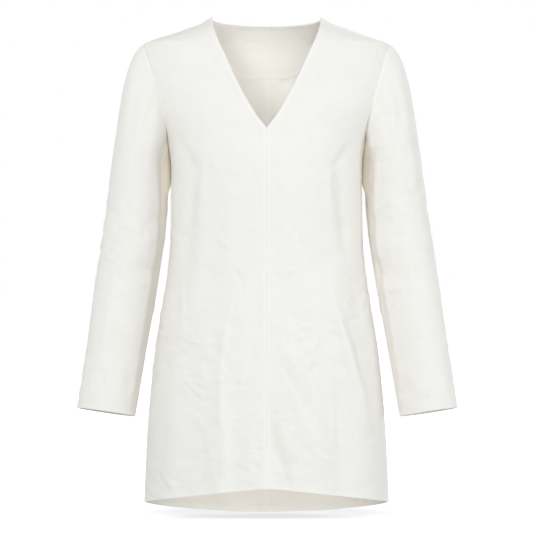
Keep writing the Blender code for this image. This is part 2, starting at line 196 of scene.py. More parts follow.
def hem_height(turn, face):
    """The hem's height at a turn: it meets at the side seams, rises in front and drops behind."""
    across, out = np.sin(turn), np.cos(turn)
    if face == FRONT:
        return SIDE_HEM_HEIGHT + FRONT_HEM_CURVE * (1 - across**FRONT_HEM_POWER) + FRONT_HEM_TILT * out
    return SIDE_HEM_HEIGHT - BACK_HEM_CURVE * (1 - across**2) - BACK_HEM_TILT * out


def armhole_edge(share, face):
    """(turn, height) on the armhole, from the underarm (0) to the shoulder point (1)."""
    height = UNDERARM_HEIGHT + (SHOULDER_DROP - UNDERARM_HEIGHT) * (1 - np.cos(math.pi * share)) / 2
    reach = ARMHOLE_REACH[face] * np.clip(np.sin(math.pi * share), 0, 1) ** ARMHOLE_FULLNESS
    power = SQUARENESS(height)
    turn = np.arctan2((1 - reach**power) ** (1 / power), reach)
    return np.minimum(turn, side_turn(height, face)), height


def outer_edge(t, face):
    """(turn, height) up the side seam and then round the armhole."""
    height = SIDE_HEM_HEIGHT + (UNDERARM_HEIGHT - SIDE_HEM_HEIGHT) * t / SIDE_SHARE
    arm_turn, arm_height = armhole_edge(np.clip((t - SIDE_SHARE) / (1 - SIDE_SHARE), 0, 1), face)
    on_side = t <= SIDE_SHARE
    return np.where(on_side, side_turn(height, face), arm_turn), np.where(on_side, height, arm_height)


def inner_edge(t, face):
    """(turn, height) up the centre seam and then along the neckline."""
    centre = CENTRE_SHARE[face]
    low = hem_height(0.0, face)
    neck = V_POINT_HEIGHT if face == FRONT else BACK_NECK_HEIGHT
    seam_height = low + (neck - low) * np.minimum(t / centre, 1)
    share = np.clip((t - centre) / (1 - centre), 0, 1)
    if face == FRONT:
        height = neck * (1 - share) ** FRONT_NECK_CROWDING
        power = SQUARENESS(height)
        part = np.clip(HALF_OPENING(height) / HALF_WIDTH(height), 0, 1)
        turn = np.arctan2(part, (1 - part**power) ** (1 / power))
        turn = np.clip(turn, centre_turn(height), side_turn(height, face))
    else:
        height = neck * (1 - share**2)
        first = centre_turn(height)
        turn = first + (side_turn(height, face) - first) * share
    on_seam = t <= centre
    return np.where(on_seam, centre_turn(seam_height), turn), np.where(on_seam, seam_height, height)


def panel_place(s, t, face):
    """(turn, height) on half a front or back: s from centre to side, t from hem to shoulder."""
    def hem(s):
        first, last = centre_turn(SIDE_HEM_HEIGHT), side_turn(SIDE_HEM_HEIGHT, face)
        return first + (last - first) * s, hem_height(QUARTER * s, face)

    def top(s):
        return side_turn(SHOULDER_DROP * s, face), SHOULDER_DROP * s

    inner, outer = inner_edge(t, face), outer_edge(t, face)
    low, high = hem(s), top(s)
    low_ends, high_ends = (hem(0.0), hem(1.0)), (top(0.0), top(1.0))
    place = []
    for k, u in ((0, s), (1, s * s)):
        between_sides = (1 - u) * inner[k] + u * outer[k]
        between_ends = (1 - t) * low[k] + t * high[k]
        corners = (1 - t) * ((1 - u) * low_ends[0][k] + u * low_ends[1][k])
        corners = corners + t * ((1 - u) * high_ends[0][k] + u * high_ends[1][k])
        place.append(between_sides + between_ends - corners)
    return place


def panel_surface(face, hand):
    """Half a front or back of the dress form, as points and outward normals."""
    def surface(s, t):
        turn, height = panel_place(s, t, face)
        return form_point(turn, height, face, hand), form_normal(turn, height, face, hand)

    return surface


# Largest folds: x and z of the top and of the foot, how far they lift the cloth, and their spread
FRONT_FOLDS = (
    (-0.117, -0.225, -0.122, -0.420, -0.0045, 0.013),
    (-0.100, -0.250, -0.118, -0.560, 0.0035, 0.018),
    (-0.045, -0.420, -0.078, -0.900, 0.0055, 0.020),
    (-0.052, -0.440, -0.052, -0.900, -0.0050, 0.016),
    (-0.140, -0.450, -0.150, -0.900, 0.0040, 0.018),
    (0.020, -0.520, 0.110, -0.760, 0.0045, 0.018),
    (0.004, -0.600, 0.038, -0.900, -0.0050, 0.014),
    (0.098, -0.400, 0.160, -0.670, 0.0075, 0.015),
    (0.112, -0.540, 0.124, -0.900, -0.0045, 0.018),
    (0.116, -0.215, 0.130, -0.400, -0.0042, 0.014),
)
FOLD_END_POWER = 0.7
FOLD_FADE_TURN = 0.12

# Creases: the route of each over x and z, how far it lifts the cloth, and its spread
FRONT_CREASES = (
    (((-0.133, -0.420), (-0.131, -0.470), (-0.134, -0.530)), 0.0020, 0.0045),
    (((-0.047, -0.450), (-0.055, -0.510), (-0.062, -0.565), (-0.062, -0.627), (-0.052, -0.712)),
     -0.0010, 0.0060),
    (((-0.056, -0.450), (-0.065, -0.510), (-0.072, -0.565), (-0.072, -0.627), (-0.062, -0.716)),
     0.0024, 0.0056),
    (((0.097, -0.436), (0.121, -0.526), (0.146, -0.606), (0.156, -0.650)), 0.0036, 0.0066),
    (((0.111, -0.446), (0.134, -0.520), (0.158, -0.596)), -0.0026, 0.0070),
    (((0.023, -0.526), (0.050, -0.568), (0.073, -0.617), (0.096, -0.660)), 0.0032, 0.0050),
    (((0.014, -0.540), (0.040, -0.584), (0.062, -0.630), (0.074, -0.660)), -0.0018, 0.0050),
    (((0.103, -0.534), (0.104, -0.620), (0.106, -0.705)), 0.0015, 0.0044),
    (((0.071, -0.689), (0.086, -0.702), (0.104, -0.715)), 0.0017, 0.0026),
    (((0.078, -0.684), (0.106, -0.706)), -0.0015, 0.0026),
    (((0.084, -0.701), (0.102, -0.719)), -0.0012, 0.0024),
    (((0.090, -0.680), (0.112, -0.697)), 0.0010, 0.0024),
    (((0.119, -0.626), (0.127, -0.708)), 0.0014, 0.0055),
    (((0.008, -0.648), (0.021, -0.700), (0.037, -0.750)), -0.0034, 0.0060),
    (((0.004, -0.628), (0.016, -0.635)), -0.0012, 0.0026),
    (((-0.164, -0.731), (-0.138, -0.755)), 0.0014, 0.0040),
    (((-0.158, -0.720), (-0.150, -0.762)), -0.0010, 0.0040),
    (((-0.146, -0.196), (-0.120, -0.232)), -0.0007, 0.0070),
    (((-0.140, -0.196), (-0.113, -0.252), (-0.124, -0.310), (-0.130, -0.385)), -0.0024, 0.0098),
    (((-0.098, -0.245), (-0.105, -0.330)), 0.0011, 0.0080),
    (((0.144, -0.196), (0.118, -0.230)), -0.0007, 0.0070),
    (((0.136, -0.196), (0.112, -0.250), (0.117, -0.300), (0.126, -0.390)), -0.0022, 0.0095),
    (((0.098, -0.245), (0.103, -0.330)), 0.0010, 0.0080),
    (((0.013, -0.331), (0.037, -0.351), (0.053, -0.385)), 0.0009, 0.0028),
    (((0.020, -0.324), (0.044, -0.342), (0.058, -0.372)), -0.0008, 0.0028),
    (((-0.080, -0.352), (-0.055, -0.380)), 0.0006, 0.0036),
    (((-0.051, -0.407), (-0.040, -0.426), (-0.027, -0.410)), -0.0011, 0.0026),
    (((-0.047, -0.398), (-0.038, -0.412), (-0.030, -0.400)), 0.0010, 0.0026),
    (((-0.030, -0.430), (-0.034, -0.466)), 0.0009, 0.0030),
    (((-0.015, -0.386), (-0.002, -0.392)), 0.0009, 0.0026),
    (((0.008, -0.402), (0.030, -0.412), (0.052, -0.408)), 0.0010, 0.0028),
    (((0.051, -0.250), (0.057, -0.272), (0.052, -0.296), (0.056, -0.321)), 0.0009, 0.0030),
    (((0.020, -0.262), (0.026, -0.300)), 0.0006, 0.0034),
    (((-0.052, -0.288), (-0.044, -0.299)), 0.0008, 0.0030),
    (((-0.135, -0.513), (-0.118, -0.522), (-0.096, -0.522)), 0.0014, 0.0028),
    (((-0.130, -0.523), (-0.100, -0.531)), -0.0010, 0.0028),
    (((-0.127, -0.580), (-0.096, -0.612)), 0.0014, 0.0028),
    (((-0.124, -0.592), (-0.092, -0.622)), -0.0012, 0.0028),
    (((-0.112, -0.578), (-0.090, -0.596)), 0.0009, 0.0026),
    (((-0.096, -0.528), (-0.080, -0.520)), 0.0009, 0.0026),
    (((0.029, -0.495), (0.049, -0.510), (0.068, -0.535)), 0.0013, 0.0028),
    (((0.034, -0.512), (0.056, -0.529)), -0.0011, 0.0026),
    (((0.040, -0.488), (0.060, -0.500), (0.074, -0.520)), 0.0011, 0.0026),
    (((0.048, -0.482), (0.070, -0.496)), -0.0009, 0.0026),
    (((0.028, -0.528), (0.050, -0.545)), 0.0010, 0.0026),
    (((-0.104, -0.022), (-0.092, -0.055), (-0.081, -0.092)), -0.0009, 0.0060),
    (((0.112, -0.030), (0.098, -0.072)), -0.0008, 0.0060),
    (((-0.020, -0.500), (-0.012, -0.540), (-0.016, -0.580)), 0.0009, 0.0036),
    (((-0.034, -0.560), (-0.044, -0.600)), 0.0008, 0.0034),
    (((-0.020, -0.640), (-0.030, -0.690)), 0.0010, 0.0044),
    (((-0.100, -0.660), (-0.098, -0.740)), -0.0012, 0.0050),
    (((-0.086, -0.700), (-0.076, -0.752)), 0.0010, 0.0044),
    (((0.060, -0.250), (0.082, -0.216)), 0.0006, 0.0050),
    (((-0.070, -0.262), (-0.092, -0.224)), 0.0006, 0.0050),
)
CREASE_END_CUT = 0.03
CREASE_END_POWER = 0.8


def fold_lift(folds, x, z):
    """How far the folds lift the cloth off the form at each place seen from the front or the back."""
    total = np.zeros(np.shape(x))
    for top_x, top_z, foot_x, foot_z, lift, spread in folds:
        run = np.array([foot_x - top_x, foot_z - top_z])
        length = np.linalg.norm(run)
        along = ((x - top_x) * run[0] + (z - top_z) * run[1]) / length**2
        aside = ((x - top_x) * run[1] - (z - top_z) * run[0]) / length
        ends = np.sin(math.pi * np.clip(along, 0, 1)) ** FOLD_END_POWER
        total = total + lift * ends * np.exp(-((aside / spread) ** 2))
    return total


def crease_lift(creases, x, z):
    """The same for creases, each along its own bent route and dying away towards both ends."""
    total = np.zeros(np.shape(x))
    for route, lift, spread in creases:
        route = np.array(route)
        lengths = np.linalg.norm(np.diff(route, axis=0), axis=1)
        nearest = np.full(np.shape(x), 1.0)
        place = np.zeros(np.shape(x))
        run_up = 0.0
        for start, end, length in zip(route[:-1], route[1:], lengths):
            way = (end - start) / length
            along = np.clip((x - start[0]) * way[0] + (z - start[1]) * way[1], 0, length)
            away = np.hypot(x - start[0] - along * way[0], z - start[1] - along * way[1])
            closer = away < nearest
            nearest = np.where(closer, away, nearest)
            place = np.where(closer, (run_up + along) / lengths.sum(), place)
            run_up += length
        place = CREASE_END_CUT + (1 - 2 * CREASE_END_CUT) * place
        ends = np.sin(math.pi * np.clip(place, 0, 1)) ** CREASE_END_POWER
        total = total + lift * ends * np.exp(-((nearest / spread) ** 2))
    return total


def rumple(x, y, size, seed):
    """Smooth noise between -1 and 1, with bumps of about that size."""
    pairs = zip((x / size).ravel(), (y / size).ravel())
    return np.array([noise.noise(Vector((a, b, seed))) for a, b in pairs]).reshape(np.shape(x))


def crushed(x, y, size, seed):
    """A network of small soft-edged creases between smooth patches, as in linen that has been sat in."""
    drift = 0.7 * size * rumple(x, y, 2.3 * size, seed + 0.5)
    wave = rumple(x + drift, y - drift, size, seed)
    return 0.75 - 3.0 * np.sqrt(wave**2 + 0.0036)


PRESSED_RISE = 0.00030
SEAM_PUCKER = 0.00035
PUCKER_PITCH = 0.011
CRUMPLE = 0.00120
CRUMPLE_SIZES = (0.033, 0.0145)
SMALL_CRUMPLE_SHARE = 0.65
CRUMPLE_PATCH = 0.11
LEAST_CRUMPLED = 0.35


def crumple_lift(x, y, amount, seed):
    """The fine crumple of worn linen, in patches: larger creases and, on them, smaller ones."""
    patch = ease(rumple(x, y, CRUMPLE_PATCH, seed + 4.4), -0.25, 0.3)
    patch = LEAST_CRUMPLED + (1 - LEAST_CRUMPLED) * patch
    large, small = (crushed(x, y, size, seed + k) for k, size in enumerate(CRUMPLE_SIZES))
    return amount * patch * CRUMPLE * (large + SMALL_CRUMPLE_SHARE * small)


def seam_relief(distance, along, width, seed, pucker=1.0):
    """What a turned-in edge does to the cloth over it: a flat rise over the turning, and small puckers."""
    rise = PRESSED_RISE * (1 - ease(distance, 0.75 * width, 1.2 * width))
    reach = ease(distance, 0.0008, 0.004) * (1 - ease(distance, 0.008, 0.022))
    return rise + pucker * SEAM_PUCKER * reach * rumple(along, distance, PUCKER_PITCH, seed)


def panel_lift(face, folds, creases, seed):
    """How far a half front or back stands off the form, from its folds, creases, seams and fine crumple."""
    def lift(point, s, t, from_centre, from_side, from_hem, from_top):
        x, z = point[..., 0], point[..., 2]
        turn = panel_place(s, t, face)[0]
        hold = np.clip((QUARTER - turn) / FOLD_FADE_TURN, 0, 1)
        inside = ease(np.minimum(from_centre, np.minimum(from_side, from_top)), 0.0015, 0.010)
        at_neck = ease(t, CENTRE_SHARE[face], CENTRE_SHARE[face] + 0.01)
        total = fold_lift(folds, x, z) * hold + crease_lift(creases, x, z) * inside
        total += seam_relief(from_centre, z, SEAM_ALLOWANCE, seed, 0.7 + 0.3 * at_neck)
        total += seam_relief(from_side, z, SEAM_ALLOWANCE, seed + 1.7)
        total += seam_relief(from_hem, x, HEM_TURNING, seed + 3.1, 0.6)
        total += seam_relief(from_top, x, SEAM_ALLOWANCE, seed + 4.9, 0.7)
        total += crumple_lift(x, z, inside * (0.55 + 0.45 * ease(-z, 0.22, 0.42)), seed + 6.3)
        return total

    return lift


def edge_stations(turning):
    """Places across a turned-in edge, from the raw edge to the flat cloth: (inset, how far it is folded)."""
    radius = LAYER_STEP / 2
    under = [(share * turning, 1.0) for share in (1.0, 0.72, 0.46, 0.24, 0.12)]
    turns = np.radians(np.arange(180, -1, -30))
    nose = [(FOLDED_EDGE * radius * (1 - math.sin(a)), (1 - math.cos(a)) / 2) for a in turns]
    return np.array(under + nose + [(0.0011, 0.0), (0.0018, 0.0), (0.0030, 0.0)])


def inset_rate(surface, s, t, across):
    """How many metres, square to an edge, one unit of s or t covers there."""
    step = 1e-4
    to_s, to_t = (np.where(value < 0.5, step, -step) for value in (s, t))
    here = surface(s, t)[0]
    along_s = (surface(s + to_s, t)[0] - here) / step
    along_t = (surface(s, t + to_t)[0] - here) / step
    crossing, running = (along_s, along_t) if across == "s" else (along_t, along_s)
    square = np.linalg.norm(np.cross(crossing, unit(running)), axis=-1)
    return np.maximum(square, 0.35 * np.linalg.norm(crossing, axis=-1))


def spaced(stations_near, stations_far, count):
    """Along one way of a sheet: the places between its edges, every place, and how far each is folded."""
    middle = np.linspace(0, 1, count + 2)[1:-1]
    nominal = np.concatenate([0 * stations_near[:, 0], middle, 0 * stations_far[:, 0] + 1])
    folded = np.concatenate([stations_near[:, 1], 0 * middle, stations_far[::-1, 1]])
    return middle, nominal, folded


def cloth_grid(surface, lift, counts, turnings):
    """Points, cloth coordinates and doubling of a cut piece as [row][column], with all four edges turned in.

    The turnings are those of the near side (s = 0), the far side, the low end (t = 0) and the high end.
    """
    near, far, low, high = (edge_stations(turning) for turning in turnings)
    s_middle, s_plain, side_fold = spaced(near, far, counts[0])
    t_middle, t_plain, end_fold = spaced(low, high, counts[1])
    rows, columns = len(t_plain), len(s_plain)
    side_fold = np.broadcast_to(side_fold, (rows, columns))
    end_fold = np.broadcast_to(end_fold[:, None], (rows, columns))
    near_rate, far_rate = (inset_rate(surface, 0 * t_plain + k, t_plain, "s")[:, None] for k in (0.0, 1.0))
    low_rate, high_rate = (inset_rate(surface, s_plain, 0 * s_plain + k, "t")[None] for k in (0.0, 1.0))
    near_part, far_part = near[None, :, 0] / near_rate, 1 - far[None, ::-1, 0] / far_rate
    first, last = near[-1, 0] / near_rate, 1 - far[-1, 0] / far_rate
    s = np.hstack([near_part, first + (last - first) * s_middle, far_part])
    tuck = TUCKED_IN * side_fold
    first, last = (low[-1, 0] + tuck) / low_rate, 1 - (high[-1, 0] + tuck) / high_rate
    low_part = (low[:, None, 0] + tuck[: len(low)]) / low_rate
    high_part = 1 - (high[::-1, None, 0] + tuck[: len(high)]) / high_rate
    middle_part = first[: len(t_middle)] + (last - first)[: len(t_middle)] * t_middle[:, None]
    t = np.vstack([low_part, middle_part, high_part])
    point, away = surface(s, t)
    gaps = (s * near_rate, (1 - s) * far_rate, t * low_rate, (1 - t) * high_rate)
    off = lift(point, s, t, *gaps)
    beside_seam = 1 - ease(np.minimum(gaps[0], gaps[1]), SEAM_ALLOWANCE, SEAM_ALLOWANCE + CORNER_SPREAD)
    build = np.where(t < 0.5, HEM_CORNER_BUILD, TOP_CORNER_BUILD)
    turned = (1 - side_fold) * (1 + build * beside_seam) + side_fold * (1 + build / 2)
    depth = LAYER_STEP * ((1 - end_fold) * side_fold + end_fold * turned)
    grid = point + away * (off - depth)[..., None]
    doubled = [
        (0.5 + 0.5 * ease(gap, 0.10 * width, 0.28 * width)) * (1 - ease(gap, 0.40 * width, 0.58 * width))
        for gap, width in zip(gaps, turnings)
    ]
    return grid, cloth_coordinates(point), np.max(doubled, axis=0)


def cloth_coordinates(point):
    """Metres across and along the grain at every grid point."""
    step = np.linalg.norm(np.diff(point[..., :2], axis=1), axis=-1)
    across = np.concatenate([np.zeros((len(point), 1)), np.cumsum(step, axis=1)], axis=1)
    across += np.abs(point[:, :1, 0])
    return np.stack([across, point[..., 2]], axis=-1)


def select_only(piece):
    bpy.ops.object.select_all(action="DESELECT")
    piece.select_set(True)
    bpy.context.view_layer.objects.active = piece


def lay_cloth(name, grid, coordinates, doubled, flip, material):
    """A grid primitive whose points go to their places on the dress, then given the cloth's thickness."""
    rows, columns = grid.shape[:2]
    bpy.ops.object.select_all(action="DESELECT")
    bpy.ops.mesh.primitive_grid_add(x_subdivisions=columns - 1, y_subdivisions=rows - 1, size=2)
    piece = bpy.context.object
    piece.name = piece.data.name = name
    mesh = piece.data
    flat = np.empty(len(mesh.vertices) * 3, np.float32)
    mesh.vertices.foreach_get("co", flat)
    flat = flat.reshape(-1, 3)
    column = np.rint((flat[:, 0] + 1) / 2 * (columns - 1)).astype(int)
    row = np.rint((flat[:, 1] + 1) / 2 * (rows - 1)).astype(int)
    mesh.vertices.foreach_set("co", grid[row, column].astype(np.float32).ravel())
    corner = np.empty(len(mesh.loops), np.int32)
    mesh.loops.foreach_get("vertex_index", corner)
    weave = mesh.uv_layers.active or mesh.uv_layers.new()
    weave.name = "Grain"
    weave.uv.foreach_set("vector", coordinates[row, column][corner].astype(np.float32).ravel())
    doubling = mesh.attributes.new("Doubled", "FLOAT", "POINT")
    doubling.data.foreach_set("value", doubled[row, column].astype(np.float32))
    if flip:
        mesh.flip_normals()
    mesh.update()
    mesh.materials.clear()
    mesh.materials.append(material)
    select_only(piece)
    wall = piece.modifiers.new("cloth", "SOLIDIFY")
    wall.thickness = CLOTH
    wall.offset = -1
    bpy.ops.object.modifier_apply(modifier=wall.name)
    bpy.ops.object.shade_smooth_by_angle(angle=math.radians(50))
    return piece


class Shade:
    """A socket in a material, so that its maths reads as plain arithmetic."""

    def __init__(self, tree, socket):
        self.tree, self.socket = tree, socket

    def node(self, kind, settings=None, out=0, **sockets):
        """Another node: its type, its settings, and the values or links of its sockets."""
        made = self.tree.nodes.new(kind)
        for key, value in (settings or {}).items():
            setattr(made, key, value)
        for key, value in sockets.items():
            target = made.inputs[int(key[1:])] if key[0] == "_" else made.inputs[key.replace("_", " ")]
            if isinstance(value, Shade):
                self.tree.links.new(value.socket, target)
            else:
                target.default_value = value
        return Shade(self.tree, made.outputs[out])

    def math(self, operation, first, second):
        return self.node("ShaderNodeMath", {"operation": operation}, _0=first, _1=second)

    def __add__(self, other):
        return self.math("ADD", self, other)

    def __mul__(self, other):
        return self.math("MULTIPLY", self, other)

    def __truediv__(self, other):
        return self.math("DIVIDE", self, other)

    def __rtruediv__(self, other):
        return self.math("DIVIDE", other, self)

    __radd__, __rmul__ = __add__, __mul__


THREAD_PITCH = 0.00072
SLUB_LENGTH = 0.024
SLUB_SCALE = 0.55
MOTTLE_SCALE = 26.0
RIPPLE_SCALE = 58.0
THREAD_HEIGHT, SLUB_HEIGHT, RIPPLE_HEIGHT = 0.00010, 0.00022, 0.00010
LINEN_LIGHT = (0.870, 0.842, 0.784, 1.0)
LINEN_SHADE = (0.848, 0.815, 0.750, 1.0)
LINEN_DOUBLED = (0.900, 0.876, 0.826, 1.0)
DOUBLED_SHARE = 0.50
LINEN_ROUGHNESS = 0.86


def linen_material(name, light, shade):
    """Plain-weave linen: round threads of uneven thickness, a few slubs, fine ripples and a soft mottling."""
    material = bpy.data.materials.new(name)
    material.use_nodes = True
    tree = material.node_tree
    surface = tree.nodes["Principled BSDF"]
    start = Shade(tree, None)
    grain = start.node("ShaderNodeUVMap", {"uv_map": "Grain"})
    across = start.node("ShaderNodeSeparateXYZ", _0=grain)
    along = Shade(tree, across.socket.node.outputs[1])

    def threads(place, other, seed):
        """The height of one set of threads, and how thick each thread is where it passes."""
        stretched = start.node("ShaderNodeCombineXYZ", X=place / THREAD_PITCH, Y=other / SLUB_LENGTH, Z=seed)
        thick = start.node(
            "ShaderNodeTexNoise", {"noise_dimensions": "3D"}, _0=stretched, Scale=SLUB_SCALE, Detail=1.5
        )
        wave = start.math("SINE", place * (2 * math.pi / THREAD_PITCH), 0.0)
        return wave, thick

    warp, warp_slub = threads(across, along, 3.0)
    weft, weft_slub = threads(along, across, 11.0)
    over = warp * weft * 0.5 + 0.5
    slub = (warp_slub + weft_slub) * 0.5
    mottle = start.node(
        "ShaderNodeTexNoise", {"noise_dimensions": "2D"}, _0=grain, Scale=MOTTLE_SCALE, Detail=3.0
    )
    ripple = start.node(
        "ShaderNodeTexNoise", {"noise_dimensions": "2D", "noise_type": "RIDGED_MULTIFRACTAL"},
        _0=grain, Scale=RIPPLE_SCALE, Detail=2.0,
    )
    tone = 0.5 * slub + 0.3 * mottle + 0.2 * over
    stretch = start.node(
        "ShaderNodeMapRange", Value=tone, From_Min=0.36, From_Max=0.62, To_Min=0.0, To_Max=1.0
    )
    colour = start.node(
        "ShaderNodeMix", {"data_type": "RGBA"}, out=2, _0=stretch, _6=shade, _7=light
    )
    doubled = start.node("ShaderNodeAttribute", {"attribute_name": "Doubled"}, out=2)
    whiter = start.node(
        "ShaderNodeMix", {"data_type": "RGBA"}, out=2, _0=doubled * DOUBLED_SHARE, _6=colour, _7=LINEN_DOUBLED
    )
    tree.links.new(whiter.socket, surface.inputs["Base Color"])
    height = over * THREAD_HEIGHT + slub * SLUB_HEIGHT + ripple * RIPPLE_HEIGHT
    bump = start.node("ShaderNodeBump", Strength=0.55, Distance=1.0, Height=height)
    tree.links.new(bump.socket, surface.inputs["Normal"])
    surface.inputs["Roughness"].default_value = LINEN_ROUGHNESS
    surface.inputs["Sheen Weight"].default_value = 0.12
    surface.inputs["Sheen Roughness"].default_value = 0.6
    surface.inputs["Specular IOR Level"].default_value = 0.28
    return material


linen = linen_material("off_white_linen", LINEN_LIGHT, LINEN_SHADE)
PANEL_COUNTS = (96, 316)


def make_panel(name, face, hand, folds, creases, seed):
    """Cuts and lays one half front or half back, and attaches it to the root."""
    surface = panel_surface(face, hand)
    turnings = (SEAM_ALLOWANCE, SEAM_ALLOWANCE, HEM_TURNING, SEAM_ALLOWANCE)
    lift = panel_lift(face, folds, creases, seed)
    grid, coordinates, doubled = cloth_grid(surface, lift, PANEL_COUNTS, turnings)
    coordinates = coordinates * np.array([hand, 1.0])
    piece = lay_cloth(f"{name}_linen", grid, coordinates, doubled, hand * face > 0, linen)
    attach(piece, "root")
    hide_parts(name)


for name, hand, seed in (("front_right", RIGHT, 2.0), ("front_left", LEFT, 21.0)):
    make_panel(name, FRONT, hand, FRONT_FOLDS, FRONT_CREASES, seed)


# The backs.
# Two half backs of the same linen, sewn together down the centre back and to the fronts at the shoulders and
# sides. They are a little longer than the fronts, so the hem dips behind, and hang in softer, longer folds.

BACK_FOLDS = (
    (-0.128, -0.220, -0.140, -0.430, -0.0045, 0.018),
    (-0.070, -0.380, -0.098, -0.900, 0.0055, 0.022),
    (-0.036, -0.430, -0.052, -0.900, -0.0045, 0.020),
    (0.030, -0.420, 0.048, -0.900, 0.0045, 0.020),
    (0.084, -0.360, 0.110, -0.900, -0.0050, 0.022),
    (0.130, -0.220, 0.138, -0.460, -0.0040, 0.018),
    (0.126, -0.480, 0.150, -0.900, 0.0045, 0.020),
)
BACK_CREASES = (
    (((-0.074, -0.400), (-0.082, -0.520), (-0.094, -0.660)), 0.0017, 0.0060),
    (((-0.064, -0.420), (-0.072, -0.520), (-0.082, -0.640)), -0.0013, 0.0056),
    (((0.028, -0.430), (0.036, -0.540), (0.042, -0.680)), 0.0015, 0.0058),
    (((0.092, -0.450), (0.104, -0.540), (0.126, -0.640)), 0.0016, 0.0054),
    (((0.104, -0.452), (0.116, -0.540), (0.136, -0.630)), -0.0013, 0.0056),
    (((-0.030, -0.548), (-0.058, -0.592), (-0.084, -0.650)), 0.0015, 0.0048),
    (((0.060, -0.690), (0.084, -0.716)), 0.0012, 0.0032),
    (((0.052, -0.684), (0.074, -0.706)), -0.0010, 0.0030),
    (((-0.156, -0.196), (-0.108, -0.250)), -0.0013, 0.0060),
    (((-0.150, -0.180), (-0.098, -0.222)), 0.0010, 0.0062),
    (((0.156, -0.196), (0.110, -0.246)), -0.0013, 0.0060),
    (((0.148, -0.182), (0.100, -0.220)), 0.0009, 0.0062),
    (((-0.116, -0.250), (-0.124, -0.310)), -0.0012, 0.0055),
    (((0.118, -0.244), (0.126, -0.320)), -0.0012, 0.0055),
    (((-0.090, -0.350), (-0.052, -0.372), (-0.020, -0.366)), 0.0010, 0.0046),
    (((0.094, -0.362), (0.060, -0.384), (0.022, -0.380)), 0.0009, 0.0044),
    (((-0.080, -0.384), (-0.040, -0.402)), -0.0009, 0.0040),
    (((0.030, -0.398), (0.074, -0.404)), -0.0008, 0.0038),
    (((-0.046, -0.300), (-0.030, -0.330)), 0.0007, 0.0036),
    (((0.040, -0.282), (0.050, -0.318)), 0.0007, 0.0036),
    (((-0.120, -0.520), (-0.090, -0.532)), 0.0009, 0.0038),
    (((0.116, -0.700), (0.122, -0.760)), 0.0010, 0.0056),
    (((-0.140, -0.640), (-0.146, -0.740)), 0.0011, 0.0060),
    (((-0.100, -0.040), (-0.088, -0.120)), -0.0008, 0.0080),
    (((0.104, -0.044), (0.090, -0.124)), -0.0008, 0.0080),
    (((-0.060, -0.140), (-0.072, -0.200)), 0.0006, 0.0070),
    (((0.058, -0.150), (0.066, -0.214)), 0.0006, 0.0070),
)

for name, hand, seed in (("back_right", RIGHT, 40.0), ("back_left", LEFT, 61.0)):
    make_panel(name, BACK, hand, BACK_FOLDS, BACK_CREASES, seed)


# The sleeves.
# One-piece long sleeves, set into the armholes so that the cap stands a little proud of the body. Each is
# closed by an underarm seam and turned up once at the cuff. The arms hang forward, and the cloth breaks into
# short creases at the elbow and bunches softly under the arm.

CAP_COLUMNS = ("leave_outwards", "leave_downwards", "arrive_length", "arrive_lean")
CAP_AT_CROWN = (0.0310, 0.0165, 0.094, 0.150)
CAP_AT_UNDERARM = (0.0010, 0.0235, 0.010, 0.000)
CAP_FULLNESS = 0.008
CAP_PROUD = 0.0002
CAP_PUFF = 0.0006
CAP_SHARE = 0.38
CUFF_TURNING = 0.012
RIGHT_ARM_CLOSER = 0.003

ARM_COLUMNS = ("height", "across", "forward", "half_width", "half_depth")
ARM = (
    (-0.235, 0.2045, -0.002, 0.0455, 0.0560),
    (-0.302, 0.2090, 0.000, 0.0500, 0.0515),
    (-0.380, 0.2200, 0.005, 0.0503, 0.0475),
    (-0.458, 0.2320, 0.013, 0.0497, 0.0445),
    (-0.536, 0.2440, 0.023, 0.0480, 0.0415),
    (-0.613, 0.2560, 0.034, 0.0473, 0.0390),
    (-0.637, 0.2597, 0.037, 0.0464, 0.0380),
)

# Folds round the arm: turn from the crown towards the front, height, lift, spread round and down the arm
SLEEVE_FOLDS = (
    (2.30, -0.330, -0.0022, 0.75, 0.014),
    (2.10, -0.372, 0.0018, 0.70, 0.014),
    (2.45, -0.412, -0.0025, 0.70, 0.013),
    (1.00, -0.300, -0.0014, 0.60, 0.030),
    (4.30, -0.400, -0.0030, 0.80, 0.018),
    (4.10, -0.470, 0.0025, 0.80, 0.020),
)

# The bag of cloth under the arm and the hollow in front of it: turn, lift, spread round the arm, and the
# heights at which it starts, is full, is still full and ends
UNDERARM_FORMS = (
    (-2.60, 0.0135, 0.27, -0.192, -0.246, -0.254, -0.298),
    (2.85, -0.0064, 0.45, -0.205, -0.240, -0.270, -0.370),
)
INNER_EDGE = ((2.10, -0.150), (2.22, -0.240), (2.42, -0.320), (2.46, -0.380), (2.50, -0.500), (2.55, -0.620))
INNER_HOLLOW = ((2.50, -0.160), (2.64, -0.240), (2.74, -0.320), (2.76, -0.400), (2.80, -0.600))
ARM_ACROSS = smooth_curve(ARM, ARM_COLUMNS, "across")
ARM_FORWARD = smooth_curve(ARM, ARM_COLUMNS, "forward")
ARM_HALF_WIDTH = smooth_curve(ARM, ARM_COLUMNS, "half_width")
ARM_HALF_DEPTH = smooth_curve(ARM, ARM_COLUMNS, "half_depth")
ARM_ROUND = 0.048

